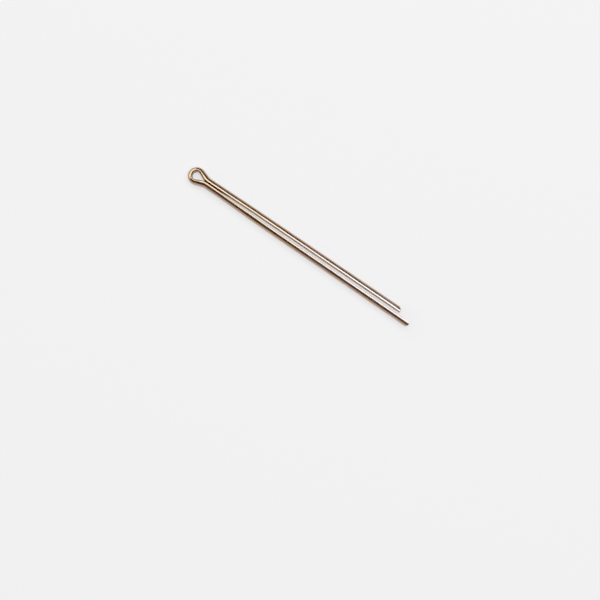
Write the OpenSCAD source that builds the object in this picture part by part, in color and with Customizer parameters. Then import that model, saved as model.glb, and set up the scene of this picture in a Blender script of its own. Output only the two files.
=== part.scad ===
// Split pin that keeps brake pads in their caliper, bent from one length of D-section steel wire.
// The wire goes along one leg, round the eye and back along the other leg, its flat side always
// facing inwards, so that the two legs together fill a round hole.
//
// Origin: on the shank's axis, at the underside of the eye, halfway up the wire.
// +X runs along the legs to their tips, +Y to the short leg, and +Z square to the pin's plane.

/* [Wire] */
// Thickness of the wire from its flat to its crown, half the closed shank
wire_depth = 1.475; // [1.2:0.025:2]
// Radius on the two long edges between the flat and the crown
edge_radius = 0.14; // [0.08:0.01:0.4]

/* [Eye] */
// Width of the eye, outside
eye_diameter = 5.5; // [5:0.05:8]
// Distance from the underside of the eye to the eye's centre
eye_reach = 4; // [3.7:0.05:6]
// Diameter of the hole in the eye, where the wire is pressed a little thinner
eye_hole = 2.8; // [2.6:0.05:5]
// Angle at which each side of the hole runs to its point at the neck
eye_hole_taper = 26; // [22:1:35]
// Radius of the hollow bend between the eye and each leg
neck_bend = 2.5; // [1.5:0.1:4]
// Slot between the two legs just under the eye
neck_slot = 0.44; // [0.1:0.01:0.8]

/* [Short leg] */
// Length from the underside of the eye to the tip of the short leg
short_length = 69.2; // [40:0.1:100]
// How far the short leg springs out from its place at the neck
short_spring = 0.16; // [0.05:0.01:0.8]
// Distance from the underside of the eye to where the short leg starts to spring out
short_spring_start = 1.5; // [0.5:0.5:10]
// Length over which the short leg springs out
short_spring_run = 15; // [12:0.5:25]
// Angle at which the short leg still leans outwards after that, in degrees
short_splay = 0.06; // [0:0.01:0.5]
// How far the crown is cut back at the short leg's sheared tip
short_crown_back = 0.87; // [0.2:0.01:1.5]
// How far the flat is rounded back at the short leg's tip
short_flat_back = 0.18; // [0.05:0.01:1.5]
// Height of the short leg's furthest point above its flat
short_point = 0.33; // [0.1:0.01:1]

/* [Long leg] */
// Length from the underside of the eye to the tip of the long leg
long_length = 73.5; // [40:0.1:110]
// How far the long leg springs out from its place at the neck
long_spring = 0.25; // [0.05:0.01:0.8]
// Distance from the underside of the eye to where the long leg starts to spring out
long_spring_start = 4; // [0.5:0.5:10]
// Length over which the long leg springs out
long_spring_run = 17; // [12:0.5:25]
// Angle at which the long leg still leans outwards after that, in degrees
long_splay = 0.12; // [0:0.01:0.5]
// How far the crown is cut back at the long leg's sheared tip
long_crown_back = 0.7; // [0.2:0.01:1.5]
// How far the flat is rounded back at the long leg's tip
long_flat_back = 1.1; // [0.05:0.01:1.5]
// Height of the long leg's furthest point above its flat
long_point = 0.56; // [0.1:0.01:1]

/* [Hidden] */
// Radius, at the flat, of the gentle bends where a leg springs out and straightens again
spring_bend = 40;
// Bends are drawn this much slimmer than the straights, and run this far into them, so that
// every joint between the two is a clean overlap
bend_inset = 0.01;
bend_lap = 0.05;
// Clearance that carries a cut past the surface it starts from
over = 1;
$fn = 96;

// Radius of the flat side where it goes round the eye, and where it bends at the neck
eye_flat = eye_diameter / 2 - wire_depth;
neck_flat = neck_bend + wire_depth;
// Height of the slot's middle line above which a neck bend has its centre
neck_centre = neck_slot / 2 + neck_flat;
// Height of the edge rounding's centre above the middle of the wire
edge_height = sqrt(pow(wire_depth - edge_radius, 2) - pow(edge_radius, 2));

// Two bends of opposite hand are joined by a straight that touches both. dx and dy are the distances
// between their centres, and reach is the sum of their radii: these give the straight's angle to
// the X axis and its length.
function straight_angle(dx, dy, reach) = asin(reach / norm([dx, dy])) - atan2(dy, dx);
function straight_length(dx, dy, reach) = sqrt(dx * dx + dy * dy - reach * reach);

neck_angle = straight_angle(eye_reach, neck_centre, eye_flat + neck_flat);
neck_straight = straight_length(eye_reach, neck_centre, eye_flat + neck_flat);

// The wire's section: x is the distance from the flat, y the height above the wire's middle.
// An inset draws it that much smaller all round.
module section(inset = 0) {
    crown = wire_depth - inset;
    rounding = edge_radius - inset;
    // where the rounding meets the crown's circle, measured from the flat
    touch = edge_radius * (1 + rounding / (wire_depth - edge_radius));
    difference() {
        circle(crown);
        translate([inset - 2 * crown, -crown - over]) square([2 * crown, 2 * (crown + over)]);
        for (side = [0, 1]) mirror([0, side]) difference() {
            translate([-over, edge_height]) square([over + touch, crown]);
            translate([edge_radius, edge_height]) circle(rounding);
        }
    }
}

// The wire is drawn along local +X, with its flat on y = 0 and its crown towards +Y.
module straight(length) {
    rotate([90, 0, 90]) linear_extrude(length) section();
}

// A bend that turns the wire by an angle: towards its crown if hand is 1, towards its flat if hand is -1
module bend(flat_radius, angle, hand) {
    lap_angle = bend_lap / flat_radius * 180 / PI;
    translate([0, hand * flat_radius, 0])
        rotate([0, 0, -hand * (90 + lap_angle)])
            rotate_extrude(angle = hand * (angle + 2 * lap_angle))
                translate([flat_radius, 0]) mirror([(1 + hand) / 2, 0]) section(bend_inset);
}

// Places what follows at the end of such a bend
module after_bend(flat_radius, angle, hand) {
    translate([0, hand * flat_radius, 0]) rotate([0, 0, hand * angle])
        translate([0, -hand * flat_radius, 0]) children();
}

module after_straight(length) {
    translate([length, 0, 0]) children();
}

// Plan of what is cut from a leg's end, whose furthest point is at the local origin's x: a slanting
// shear over the crown, and an arc that eases the flat's edge
module tip_cut(crown_back, flat_back, point) {
    easing = (flat_back * flat_back + point * point) / (2 * point);
    slope = crown_back / (wire_depth - point);
    linear_extrude(4 * wire_depth, center = true) {
        polygon([
            [0, point],
            [-slope * (wire_depth + over - point), wire_depth + over],
            [over, wire_depth + over],
            [over, point]
        ]);
        difference() {
            translate([-flat_back, -over]) square([flat_back + over, over + point]);
            translate([-flat_back, easing]) circle(easing);
        }
    }
}

// One leg from the underside of the eye to its tip: straight, sprung out over a double bend, straight
module leg(length, spring, spring_start, spring_run, splay, crown_back, flat_back, point) {
    rise = 2 * spring_bend - spring;
    angle = straight_angle(spring_run, rise, 2 * spring_bend);
    middle = straight_length(spring_run, rise, 2 * spring_bend);
    end = length - spring_start - spring_run;
    straight(spring_start);
    after_straight(spring_start) {
        bend(spring_bend, angle, 1);
        after_bend(spring_bend, angle, 1) {
            straight(middle);
            after_straight(middle) {
                bend(spring_bend, angle - splay, -1);
                after_bend(spring_bend, angle - splay, -1) difference() {
                    straight(end);
                    after_straight(end) tip_cut(crown_back, flat_back, point);
                }
            }
        }
    }
}

// The side of the neck above one leg: a bend away from the leg and a straight up to the eye
module neck_side() {
    mirror([1, 0, 0]) {
        bend(neck_flat, neck_angle, 1);
        after_bend(neck_flat, neck_angle, 1) straight(neck_straight);
    }
}

// The bend of the eye itself, from the end of one neck side round to the other
module eye() {
    translate([-eye_reach, 0, 0]) rotate([0, 0, -neck_angle]) translate([0, eye_flat, 0])
        mirror([1, 0, 0]) bend(eye_flat, 180 + 2 * neck_angle, -1);
}

// What is pressed away inside the eye: a round hole with a point towards the neck
module eye_hole_cut() {
    radius = eye_hole / 2;
    touch = radius * [sin(eye_hole_taper), cos(eye_hole_taper)];
    translate([-eye_reach, 0, 0]) linear_extrude(4 * wire_depth, center = true) {
        circle(radius);
        polygon([[0, 0], touch, [radius / sin(eye_hole_taper), 0], [touch.x, -touch.y]]);
    }
}

module split_pin() {
    color("#c9a66b") difference() {
        union() {
            translate([0, neck_slot / 2, 0]) {
                neck_side();
                leg(short_length, short_spring, short_spring_start, short_spring_run, short_splay,
                    short_crown_back, short_flat_back, short_point);
            }
            mirror([0, 1, 0]) translate([0, neck_slot / 2, 0]) {
                neck_side();
                leg(long_length, long_spring, long_spring_start, long_spring_run, long_splay,
                    long_crown_back, long_flat_back, long_point);
            }
            eye();
        }
        eye_hole_cut();
    }
}

split_pin();
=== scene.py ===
"""Dresses the split pin: a finely meshed wire with its plated finish, on a pale table under soft light."""

import bpy
import numpy as np
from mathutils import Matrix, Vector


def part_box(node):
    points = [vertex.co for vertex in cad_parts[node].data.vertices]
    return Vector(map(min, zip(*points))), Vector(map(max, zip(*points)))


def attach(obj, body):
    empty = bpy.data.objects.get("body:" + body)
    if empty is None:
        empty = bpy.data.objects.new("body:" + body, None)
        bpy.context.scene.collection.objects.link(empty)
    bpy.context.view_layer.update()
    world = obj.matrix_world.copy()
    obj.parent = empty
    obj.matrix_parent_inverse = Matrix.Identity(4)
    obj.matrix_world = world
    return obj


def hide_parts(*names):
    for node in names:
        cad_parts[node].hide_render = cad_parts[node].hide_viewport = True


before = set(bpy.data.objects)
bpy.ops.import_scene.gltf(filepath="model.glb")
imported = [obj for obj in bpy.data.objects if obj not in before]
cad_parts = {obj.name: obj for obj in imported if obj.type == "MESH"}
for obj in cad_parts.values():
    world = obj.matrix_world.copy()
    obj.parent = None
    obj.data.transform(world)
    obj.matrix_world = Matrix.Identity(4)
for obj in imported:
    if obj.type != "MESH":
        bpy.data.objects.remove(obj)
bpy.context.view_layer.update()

# ---------------------------------------------------------------------------------------------
# The split pin: one length of D-section steel wire, cold-drawn, cut, and bent round a former so
# that its two flats face each other. It is zinc-plated after bending and passivated yellow, so
# the plating covers the sheared tips too. Sizes are in millimetres.

MM = 0.001

wire_depth = 1.475
edge_radius = 0.14
# bending round the former squeezes the flat, so that it bulges and its edges draw back
eye_bulge = 0.22
bulge_power = 3
# the rounding on the long edges opens up by this share of how far they draw back
edge_opening = 0.5
# In the neck the flats swell until each is this close to the pin's axis. From the parting to the eye
# each leaves the axis at an angle, and along the legs the swelling fades between two places.
touch_gap = 0.05
parting = -1.2
parting_angle = np.radians(23.5)
swelling_ends = (3.0, 9.0)
swell_power = 4
eye_diameter = 5.5
eye_reach = 4.0
neck_bend = 2.5
neck_slot = 0.44
spring_bend = 40.0
# Each leg's length from the underside of the eye, how far it springs out, where that starts and how
# long it takes, and the angle at which it still leans out. Then its sheared tip: how far the crown
# and the flat are cut back, and how high over the flat its furthest point lies.
short_leg = {
    "length": 69.2, "spring": 0.16, "spring_start": 1.5, "spring_run": 15.0,
    "splay": np.radians(0.06), "crown_back": 0.87, "flat_back": 0.18, "point": 0.33,
}
long_leg = {
    "length": 73.5, "spring": 0.25, "spring_start": 4.0, "spring_run": 17.0,
    "splay": np.radians(0.12), "crown_back": 0.7, "flat_back": 1.1, "point": 0.56,
}
# half the length over which the wire eases into a bend
bend_ease = 0.3
# radius on the rim of a cut tip, and over how much the ridge between its two cuts is softened
rim_radius = 0.1
ridge_softness = 0.05
# the middle of the cut face lies over the flat by this share of the wire's depth
face_centre = 0.4
# spacing of the rings along the wire: close in the eye and neck, and wide on the legs
bend_step = 0.08
leg_step = 0.5
bends_end = 8.0
# the last stretch of each leg has rings of its own: their number, then that of the rim's rings and
# of those on the cut face
tip_run = 3.0
tip_rings = 16
rim_rings = 8
face_rings = 12
# numbers of points over the crown, round each long edge and across the flat
crown_points = 49
edge_points = 13
flat_points = 17
# numbers of points on the wire's middle line, and of places averaged to ease its bends
line_points = 8001
ease_points = 21

# half the height of the flat between its rounded edges, on the straight wire
flat_half = np.sqrt((wire_depth - edge_radius) ** 2 - edge_radius**2)
eye_flat = eye_diameter / 2 - wire_depth
neck_flat = neck_bend + wire_depth


def tangent(along, across, reach):
    """The straight that touches two bends of opposite hand, from how far apart their centres lie
    and the sum of their radii: its angle is the arc sine of reach over span, less the angle of the
    line between the centres, and its length is the span's other leg."""
    span = np.hypot(along, across)
    return np.arcsin(reach / span) - np.arctan2(across, along), np.sqrt(span**2 - reach**2)


neck_turn, neck_straight = tangent(eye_reach, neck_slot / 2 + neck_flat, eye_flat + neck_flat)
eye_turn = np.pi / 2 + neck_turn
neck_start = eye_flat * eye_turn


def half_wire(leg):
    """Middle line of the flat from the far side of the eye to one tip, as on the +Y side. The
    heading adds up each stretch's turn and is averaged over the ease, and the place adds up the
    heading's cosine and sine. Gives the distance along the wire, x, y and heading."""
    rise = 2 * spring_bend - leg["spring"]
    turn, straight = tangent(leg["spring_run"], rise, 2 * spring_bend)
    back = turn - leg["splay"]
    stretches = np.array([
        (eye_flat * eye_turn, -eye_turn),
        (eye_flat * eye_turn, -eye_turn),
        (neck_straight, 0.0),
        (neck_flat * neck_turn, neck_turn),
        (leg["spring_start"], 0.0),
        (spring_bend * turn, turn),
        (straight, 0.0),
        (spring_bend * back, -back),
        (leg["length"] - leg["spring_start"] - leg["spring_run"], 0.0),
    ])
    # the first stretch is the other half's side of the eye, so that the easing knows of it
    knots = np.cumsum([-stretches[0, 0], *stretches[:, 0]])
    turned = np.cumsum([np.pi / 2 - stretches[0, 1], *stretches[:, 1]])
    along = np.linspace(0.0, knots[-1], line_points)
    shifts = np.linspace(-bend_ease, bend_ease, ease_points)
    heading = np.mean([np.interp(along + shift, knots, turned) for shift in shifts], axis=0)
    middle = (heading[1:] + heading[:-1]) / 2
    x = np.cumsum([0.0, *(np.cos(middle) * np.diff(along))])
    y = np.cumsum([0.0, *(np.sin(middle) * np.diff(along))])
    return along, x - eye_reach - eye_flat, y, heading


def bulge(along):
    """How far the flat's edges draw back from its middle: the full bulge round the eye, which
    fades smoothly over the straight of the neck."""
    way = np.clip((along - neck_start) / neck_straight, 0.0, 1.0)
    return eye_bulge * (1 - way**2 * (3 - 2 * way))


def swelling(x, y):
    """How far the middle of the flat swells from its plane, where that plane lies at x, and at y
    from the pin's axis: up to a gap that opens towards the eye, and fading along the legs."""
    room = y - touch_gap - np.maximum(parting - x, 0.0) * np.tan(parting_angle)
    start, end = swelling_ends
    way = np.clip((x - start) / (end - start), 0.0, 1.0)
    return np.maximum(room, 0.0) * (1 - way**2 * (3 - 2 * way))


crown_share = np.linspace(-1.0, 1.0, crown_points)
edge_share = np.linspace(0.0, 1.0, edge_points)
flat_share = np.linspace(1.0, -1.0, flat_points)


def d_section(drawn_back, swollen=0.0, inset=0.0):
    """Once round the wire for each ring, as height over the flat's plane and height over the wire's
    middle: the crown is an arc about the flat's middle, each long edge a small arc that touches it,
    and the flat between them draws back with the cube of the height and swells as one less its
    fourth power. The small arc ends where it has the flat's slope. An inset draws it further in."""
    rounding = edge_radius + edge_opening * drawn_back
    slope = np.arctan((bulge_power * drawn_back + swell_power * swollen) / flat_half)
    edge_at = drawn_back + rounding * np.cos(slope)
    edge_up = np.sqrt((wire_depth - rounding) ** 2 - edge_at**2)
    touch = np.arctan2(edge_up, edge_at)
    crown = touch * crown_share
    edge = touch + (np.pi - slope - touch) * edge_share
    edge_over = edge_at + (rounding - inset) * np.cos(edge)
    edge_high = edge_up + (rounding - inset) * np.sin(edge)
    across = np.abs(flat_share[1:-1])
    flat_over = edge_over[:, -1:] - drawn_back * (1 - across**bulge_power)
    flat_over = flat_over - swollen * (1 - across**swell_power)
    over = np.hstack([
        (wire_depth - inset) * np.cos(crown), edge_over[:, 1:], flat_over, edge_over[:, :0:-1],
    ])
    high = np.hstack([
        (wire_depth - inset) * np.sin(crown), edge_high[:, 1:],
        edge_high[:, -1:] * flat_share[1:-1], -edge_high[:, :0:-1],
    ])
    return over, high


def cut_back(leg, over):
    """How far the sheared tip lies behind the leg's furthest point: the lesser of a slant over the
    crown and an arc that eases the flat, softened where they meet."""
    point = leg["point"]
    slant = -leg["crown_back"] * (over - point) / (wire_depth - point)
    easing = (leg["flat_back"] ** 2 + point**2) / (2 * point)
    low = np.clip(easing - over, 0.0, easing)
    arc = np.sqrt(easing**2 - low**2) - leg["flat_back"]
    return -ridge_softness * np.logaddexp(-slant / ridge_softness, -arc / ridge_softness)


def half_skin(leg, side):
    """The wire's surface from the far side of the eye to one tip: rings of the section carried along
    the line, rings that lean over into the shape of the cut, a quarter-round rim, and rings that
    shrink over the cut face to a point. Side is 1 for the leg towards +Y and -1 for the other.
    Gives places in metres, places in the unbent wire in millimetres, and 1 where the shear cut."""
    line, line_x, line_y, line_heading = half_wire(leg)
    end = line[-1]
    tip_start = end - tip_run
    stations = np.concatenate([
        np.arange(0.0, bends_end, bend_step), np.arange(bends_end, tip_start, leg_step),
    ])[:, None]
    flat_x = np.interp(stations, line, line_x)
    flat_y = np.interp(stations, line, line_y)
    wire_over, wire_high = d_section(bulge(stations), swelling(flat_x, flat_y))
    wire_along = np.broadcast_to(stations, wire_over.shape)
    # the last stretch before the rim
    lean = np.linspace(0.0, 1.0, tip_rings)[:, None]
    lean_over, lean_high = d_section(np.zeros_like(lean))
    rim_start = end + cut_back(leg, lean_over) - rim_radius
    lean_along = tip_start + lean * (rim_start - tip_start)
    # the rim
    rim = np.linspace(0.0, np.pi / 2, rim_rings)[1:, None]
    rim_over, rim_high = d_section(np.zeros_like(rim), inset=rim_radius * (1 - np.cos(rim)))
    rim_along = end + cut_back(leg, rim_over) - rim_radius * (1 - np.sin(rim))
    # the cut face, to its middle
    shrink = np.linspace(1.0, 0.0, face_rings)[1:, None]
    centre = face_centre * wire_depth
    face_over = centre + shrink * (rim_over[-1:] - centre)
    face_high = shrink * rim_high[-1:]
    face_along = end + cut_back(leg, face_over)

    over = np.vstack([wire_over, lean_over, rim_over, face_over])
    high = np.vstack([wire_high, lean_high, rim_high, face_high])
    along = np.vstack([wire_along, lean_along, rim_along, face_along])
    heading = np.interp(along, line, line_heading)
    x = np.interp(along, line, line_x) - over * np.sin(heading)
    y = np.interp(along, line, line_y) + over * np.cos(heading)
    place = np.stack([x, side * y, high], axis=-1) * MM
    unbent = np.stack([side * along, over, high], axis=-1)
    cut = np.zeros((*over.shape, 1))
    cut[len(stations) + len(lean) :] = 1.0
    return place, unbent, cut


def set_out(name, data):
    """Puts a mesh, lamp or camera into the scene, as an object of that name."""
    made = bpy.data.objects.new(name, data)
    bpy.context.scene.collection.objects.link(made)
    return made


def closed_tube(name, grid, layers):
    """A mesh from a grid of rings that close on themselves: four corners to a face, and a fan of
    triangles to each end ring, which has shrunk to a point. Layers are attributes on its points."""
    rings, around = grid.shape[:2]
    first = np.arange(rings - 3)[:, None] * around + 1
    here = first + np.arange(around)
    beside = first + (np.arange(around) + 1) % around
    quads = np.stack([here, beside, beside + around, here + around], axis=-1).reshape(-1, 4)
    last = 1 + (rings - 2) * around
    ring = np.arange(around)
    start_fan = np.stack([0 * ring, 1 + (ring + 1) % around, 1 + ring], axis=-1)
    final = last - around
    end_fan = np.stack([final + ring, final + (ring + 1) % around, 0 * ring + last], axis=-1)

    def points(layer):
        return np.concatenate([layer[0, :1], layer[1:-1].reshape(-1, layer.shape[-1]), layer[-1, :1]])

    mesh = bpy.data.meshes.new(name)
    mesh.from_pydata(points(grid), [], [*start_fan.tolist(), *quads.tolist(), *end_fan.tolist()])
    mesh.shade_smooth()
    for layer_name, layer in layers.items():
        kind, field = ("FLOAT", "value") if layer.shape[-1] == 1 else ("FLOAT_VECTOR", "vector")
        kept = mesh.attributes.new(layer_name, kind, "POINT")
        kept.data.foreach_set(field, points(layer).astype(np.float32).ravel())
    return set_out(name, mesh)


short_half = half_skin(short_leg, 1)
long_half = half_skin(long_leg, -1)
place, unbent, cut = (
    np.concatenate([long_side[:0:-1], short_side])
    for long_side, short_side in zip(long_half, short_half)
)
wire = closed_tube("split_pin_wire", place, {"unbent": unbent, "cut": cut})


def linear(hex_colour):
    """An sRGB colour, written as hex, as the linear colour that a shader takes."""
    channels = np.array([int(hex_colour[i : i + 2], 16) for i in (1, 3, 5)]) / 255
    curved = ((channels + 0.055) / 1.055) ** 2.4
    return (*np.where(channels <= 0.04045, channels / 12.92, curved), 1.0)


def emptied(owner):
    """The node tree of a material or world, with nothing in it yet."""
    owner.use_nodes = True
    owner.node_tree.nodes.clear()
    return owner.node_tree


def add(tree, kind, links=None, **settings):
    """Adds a node with its settings. Links gives its inputs: each is a value, another node's output,
    or another node, which stands for its first output."""
    made = tree.nodes.new(kind)
    for name, value in settings.items():
        setattr(made, name, value)
    for name, value in (links or {}).items():
        if isinstance(value, bpy.types.Node):
            value = value.outputs[0]
        if isinstance(value, bpy.types.NodeSocket):
            tree.links.new(value, made.inputs[name])
        else:
            made.inputs[name].default_value = value
    return made


# Yellow passivated zinc plate on drawn wire: a thin film whose tint drifts between olive gold, tan
# and rose with its thickness. It is rubbed off along the long edges, where pale zinc shows, more so
# towards the tips, and the drawing die's fine lines run along the wire under it.

# the film's tints by its thickness, which runs from 0 to 1
film_tints = {0.34: "#b89c6c", 0.45: "#bea488", 0.55: "#c09e92", 0.66: "#ccb8a2"}
# the sheared ends take a grey-brown tint of their own, painted darker as shade for the dark side of the
# room that they mirror
cut_tint_painted_darker = "#82725f"
zinc_at_eye = "#bca88e"
zinc_at_tip = "#cdc0bc"
# Each pattern's cells to the millimetre along the unbent wire, over its flat and up from its middle,
# and its detail. The film's patches are 4 mm long and about 1 mm wide, and its specks half
# a millimetre across. Drawing lines lie a few hundredths of a millimetre apart, too fine to show,
# so here they are 0.3 mm apart.
patterns = {
    "patches": ((0.25, 0.9, 0.9), 3.0),
    "lines": ((0.12, 3.2, 3.2), 2.0),
    "specks": ((2.0, 2.0, 2.0), 2.0),
}
pattern_roughness = 0.6
# the wear grows between these distances along the wire, from the far side of the eye
wear_run = (7.0, 75.0)
# The film thins out between these heights over the wire's middle. The lines run from 0 to 1, and
# this much of them is added to the height, so that the film ends raggedly. By the eye only a
# share of it has gone.
rubbed_heights = (1.2, 1.55)
raggedness = 0.3
rubbed_at_eye = 0.75
# between these values of the lines and specks, shade and roughness go from one value to the other
line_contrast = (0.3, 0.7)
line_shades = (0.88, 1.05)
line_roughness = (0.14, 0.24)
speck_contrast = (0.3, 0.7)
speck_shades = (0.93, 1.03)
dull_speck_contrast = (0.35, 0.75)
dull_speck_roughness = (0.0, 0.06)
# how much rougher the tips are than the eye, and the least roughness of the sheared ends
wear_roughness = 0.05
cut_roughness = 0.34
# height of the lines in millimetres, and of the specks as a share of it
line_height = 0.004
speck_share = 0.5

plate = bpy.data.materials.new("yellow passivated zinc plate")
tree = emptied(plate)
unbent_at = add(tree, "ShaderNodeAttribute", attribute_name="unbent").outputs["Vector"]
sheared = add(tree, "ShaderNodeAttribute", attribute_name="cut").outputs["Fac"]
drawn = {}
for pattern, (cells, detail) in patterns.items():
    cell_at = add(tree, "ShaderNodeVectorMath", {0: unbent_at, 1: cells}, operation="MULTIPLY")
    drawn[pattern] = add(tree, "ShaderNodeTexNoise", {
        "Vector": cell_at, "Scale": 1.0, "Detail": detail, "Roughness": pattern_roughness,
    })
lines, specks = drawn["lines"], drawn["specks"]

apart = add(tree, "ShaderNodeSeparateXYZ", {"Vector": unbent_at}).outputs
from_eye = add(tree, "ShaderNodeMath", {0: apart["X"]}, operation="ABSOLUTE")
from_middle = add(tree, "ShaderNodeMath", {0: apart["Z"]}, operation="ABSOLUTE")
ragged = add(
    tree, "ShaderNodeMath", {0: lines, 1: raggedness, 2: from_middle}, operation="MULTIPLY_ADD"
)
# as what is measured crosses the first pair of values, the result goes smoothly over the second
eased = {}
for name, measured, (low, high), (start, end) in [
    ("down leg", from_eye, wear_run, (0.0, 1.0)),
    ("rubbed", ragged, rubbed_heights, (0.0, 1.0)),
    ("line shade", lines, line_contrast, line_shades),
    ("speck shade", specks, speck_contrast, speck_shades),
    ("line roughness", lines, line_contrast, line_roughness),
    ("speck roughness", specks, dull_speck_contrast, dull_speck_roughness),
]:
    eased[name] = add(tree, "ShaderNodeMapRange", {
        "Value": measured, "From Min": low, "From Max": high, "To Min": start, "To Max": end,
    }, interpolation_type="SMOOTHSTEP")

# a colour mix takes its share at 0 and its two colours at 6 and 7, and gives the third output
film = add(tree, "ShaderNodeValToRGB", {"Fac": drawn["patches"]})
stops = film.color_ramp.elements
for thickness, tint in film_tints.items():
    stops.new(thickness).color = linear(tint)
stops.remove(stops[0])
stops.remove(stops[-1])
zinc = add(
    tree, "ShaderNodeMix", {0: eased["down leg"], 6: linear(zinc_at_eye), 7: linear(zinc_at_tip)},
    data_type="RGBA",
)
worn = add(tree, "ShaderNodeMapRange", {
    "Value": eased["down leg"], "To Min": rubbed_at_eye, "To Max": 1.0,
}, interpolation_type="SMOOTHSTEP")
bare = add(tree, "ShaderNodeMath", {0: eased["rubbed"], 1: worn}, operation="MULTIPLY")
skin = add(tree, "ShaderNodeMix", {0: bare, 6: film, 7: zinc.outputs[2]}, data_type="RGBA")
# where the shear cut, the tint of the ends goes in, painted darker as shade
plated = add(
    tree, "ShaderNodeMix", {0: sheared, 6: skin.outputs[2], 7: linear(cut_tint_painted_darker)}, data_type="RGBA"
)
shade = add(
    tree, "ShaderNodeMath", {0: eased["line shade"], 1: eased["speck shade"]}, operation="MULTIPLY"
)
toned = add(
    tree, "ShaderNodeVectorMath", {0: plated.outputs[2], "Scale": shade}, operation="SCALE"
)

gloss = add(tree, "ShaderNodeMath", {0: eased["line roughness"], 1: eased["speck roughness"]})
worn_gloss = add(
    tree, "ShaderNodeMath", {0: eased["down leg"], 1: wear_roughness, 2: gloss},
    operation="MULTIPLY_ADD",
)
cut_gloss = add(tree, "ShaderNodeMath", {0: sheared, 1: cut_roughness}, operation="MULTIPLY")
roughness = add(tree, "ShaderNodeMath", {0: worn_gloss, 1: cut_gloss}, operation="MAXIMUM")
height = add(
    tree, "ShaderNodeMath", {0: specks, 1: speck_share, 2: lines}, operation="MULTIPLY_ADD"
)
relief = add(tree, "ShaderNodeBump", {"Height": height, "Distance": line_height * MM})
surface = add(tree, "ShaderNodeBsdfPrincipled", {
    "Base Color": toned, "Metallic": 1.0, "Roughness": roughness, "Normal": relief,
})
add(tree, "ShaderNodeOutputMaterial", {"Surface": surface})
wire.data.materials.append(plate)

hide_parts("split_pin")
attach(wire, "root")

# ---------------------------------------------------------------------------------------------
# The table: a sheet of matt white card, wide enough to fill the view from any side. The lamps and
# the pin's shadow make up part of what a camera sees of it, and its own paleness the rest.

table_half = 3.0
card_tint = "#efeff0"
# the share of that paleness in what a camera sees, and in what the metal mirrors
seen_paleness = 0.7
mirrored_paleness = 0.15

table_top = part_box("split_pin")[0].z
table_mesh = bpy.data.meshes.new("table")
corners = [(x * table_half, y * table_half, table_top) for x, y in [(-1, -1), (1, -1), (1, 1), (-1, 1)]]
table_mesh.from_pydata(corners, [], [(0, 1, 2, 3)])
table = set_out("table", table_mesh)


def pale_share(tree, seen, mirrored):
    """The share of plain paleness in what a ray meets: one for rays from the camera or through
    glass, and another for rays off a polished surface."""
    path = add(tree, "ShaderNodeLightPath").outputs
    direct = add(tree, "ShaderNodeMath", {0: path["Is Camera Ray"], 1: path["Is Transmission Ray"]})
    glossy = add(
        tree, "ShaderNodeMath", {0: path["Is Glossy Ray"], 1: mirrored}, operation="MULTIPLY"
    )
    return add(tree, "ShaderNodeMath", {0: direct, 1: seen, 2: glossy}, operation="MULTIPLY_ADD")


card = bpy.data.materials.new("matt white card")
tree = emptied(card)
lit = add(tree, "ShaderNodeBsdfDiffuse", {"Color": linear(card_tint)})
plain = add(tree, "ShaderNodeEmission", {"Color": linear(card_tint)})
share = pale_share(tree, seen_paleness, mirrored_paleness)
card_look = add(tree, "ShaderNodeMixShader", {0: share, 1: lit, 2: plain})
add(tree, "ShaderNodeOutputMaterial", {"Surface": card_look})
table.data.materials.append(card)

# ---------------------------------------------------------------------------------------------
# The light: a broad soft box over the table, a long window beyond the eye and a faint card on the
# long leg's side, in a dim brown room with a pale backdrop. Places and sizes are in metres.

box_place = (0.13, 0.26, 1.0)
box_aim = (0.13, 0.26, 0.0)
box_size = (1.42, 1.28)
box_radiance = 2.6
window_place = (-1.5, 0.0, 0.7)
window_aim = (0.0, 0.0, 0.7)
window_size = (3.4, 0.6)
window_radiance = 3.4
card_place = (0.0, -2.0, 0.3)
card_aim = (0.0, 0.0, 0.3)
card_size = (4.0, 0.5)
card_radiance = 0.35
room_tint = "#44362a"
# a camera sees the backdrop whole, and the metal mirrors a trace of it
seen_backdrop = 1.0
mirrored_backdrop = 0.02


def lamp(name, place, aim, size, radiance):
    """A flat lamp that faces the aim: the arc tangents of the way there give its tilt from straight
    down and its turn. Its power is its radiance times its area times pi."""
    made = bpy.data.lights.new(name, "AREA")
    made.shape = "RECTANGLE"
    made.size, made.size_y = size
    made.energy = radiance * np.pi * np.prod(size)
    held = set_out(name, made)
    held.location = place
    way = np.subtract(aim, place)
    tilt = np.arctan2(np.hypot(way[0], way[1]), -way[2])
    held.rotation_euler = (tilt, 0.0, np.arctan2(-way[0], way[1]))
    held.visible_camera = False


lamp("soft box", box_place, box_aim, box_size, box_radiance)
lamp("window", window_place, window_aim, window_size, window_radiance)
lamp("near card", card_place, card_aim, card_size, card_radiance)

room = bpy.data.worlds.new("dim room")
bpy.context.scene.world = room
tree = emptied(room)
dim = add(tree, "ShaderNodeBackground", {"Color": linear(room_tint)})
pale = add(tree, "ShaderNodeBackground", {"Color": linear(card_tint)})
share = pale_share(tree, seen_backdrop, mirrored_backdrop)
room_look = add(tree, "ShaderNodeMixShader", {0: share, 1: dim, 2: pale})
add(tree, "ShaderNodeOutputWorld", {"Surface": room_look})

# ---------------------------------------------------------------------------------------------
# The camera: almost straight above, leaning a little, with the pin lying askew in its view.

camera_tilt = np.radians(7.0)
camera_turn = np.radians(34.6194)
camera_distance = 309.158 * MM
camera_aim = np.array([42.83, -13.26, 0.0]) * MM
sensor_width = 36.0
focal_length = 62.64

camera_data = bpy.data.cameras.new("camera")
camera_data.sensor_width = sensor_width
camera_data.lens = focal_length
camera = set_out("camera", camera_data)
back = np.array([
    np.sin(camera_tilt) * np.sin(camera_turn),
    -np.sin(camera_tilt) * np.cos(camera_turn),
    np.cos(camera_tilt),
])
camera.location = camera_aim + back * camera_distance
camera.rotation_euler = (camera_tilt, 0.0, camera_turn)
bpy.context.scene.camera = camera
bpy.context.scene.view_settings.view_transform = "Standard"
